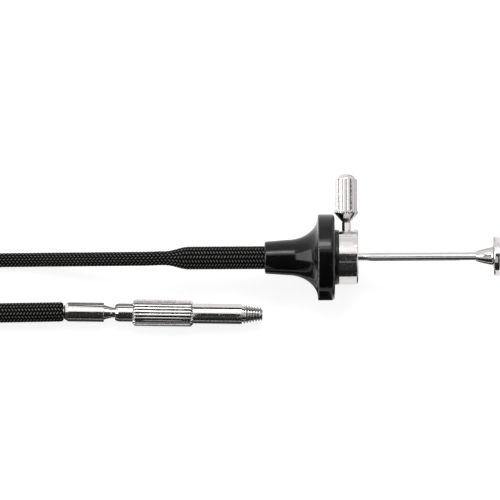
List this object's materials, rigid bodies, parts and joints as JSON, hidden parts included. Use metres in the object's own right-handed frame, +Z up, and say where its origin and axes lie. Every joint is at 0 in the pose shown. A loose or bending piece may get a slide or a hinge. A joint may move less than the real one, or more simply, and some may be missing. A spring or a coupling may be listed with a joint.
{
  "type": "cable shutter release",
  "caption": "Mechanical cable release: flanged handle with a sprung thumb plunger and locking screw, a braided cord and a swivelling tapered-thread connector.",
  "frame": {"origin": "middle of the handle's bounding box, on the table: the handle with its barrel, plunger and locking screw, without the cord and what is on it", "axes": "+X along the handle from the cord to the thumb disc, +Y towards the locking screw's head, +Z up from the table"},
  "size_m": [0.132, 0.0351, 0.015],
  "materials": {
    "black_plastic": "high gloss",
    "black_washer": "satin",
    "chrome": "polished chrome plate",
    "steel": "drawn steel",
    "brass": "turned brass",
    "braid": "black braided yarn"
  },
  "bodies": {
    "handle": {"handle": "black_plastic", "front_bush": "brass", "flange_washer": "black_washer", "lock_collar": "chrome", "barrel_tube": "steel", "spring_seat": "brass", "return_spring": "steel", "push_wire_handle": "steel", "braid_clamp": "steel", "handle_sheath": "braid", "cord_upper": "braid", "cord_coil": "braid", "cord_lower": "braid", "connector_sheath": "braid", "wire_liner": "steel", "ferrule": "chrome", "swivel_stem": "chrome"},
    "plunger": {"plunger_piston": "brass", "plunger_rod": "chrome", "button_hub": "chrome", "thumb_disc": "chrome"},
    "lock_pad": {"lock_pad": "brass"},
    "lock_screw": {"lock_screw": "chrome"},
    "threaded_connector": {"threaded_nipple": "chrome", "knurled_sleeve": "chrome", "swivel_socket": "chrome"},
    "release_pin": {"release_pin": "steel", "pin_crimp": "brass", "push_wire_tip": "steel"}
  },
  "joints": [
    {"name": "plunger_slide", "type": "slide", "parent": "handle", "child": "plunger", "axis": [-1, 0, 0], "range_m": [0, 0.018], "stiffness_N_per_m": 235, "springref_m": -0.003, "deforming": ["return_spring", "push_wire_handle"]},
    {"name": "pin_slide", "type": "slide", "parent": "handle", "child": "release_pin", "axis": [0.9998, -0.0183, 0], "range_m": [0, 0.018]},
    {"name": "lock_slide", "type": "slide", "parent": "handle", "child": "lock_pad", "axis": [0, -1, 0], "range_m": [-0.00035, 0.0004375]},
    {"name": "lock_turn", "type": "hinge", "parent": "lock_pad", "child": "lock_screw", "pos_m": [0.00084, -0.00354, 0.00752], "axis": [0, -1, 0], "range_deg": [-360, 450]},
    {"name": "connector_swivel", "type": "hinge", "parent": "handle", "child": "threaded_connector", "pos_m": [-0.01387, -0.01348, 0.00232], "axis": [0.9998, -0.0183, 0], "continuous": true}
  ],
  "couplings": [
    {"joint": "pin_slide", "follows": "plunger_slide", "ratio": 1},
    {"joint": "lock_turn", "follows": "lock_slide", "rad_per_m": 17952}
  ]
}
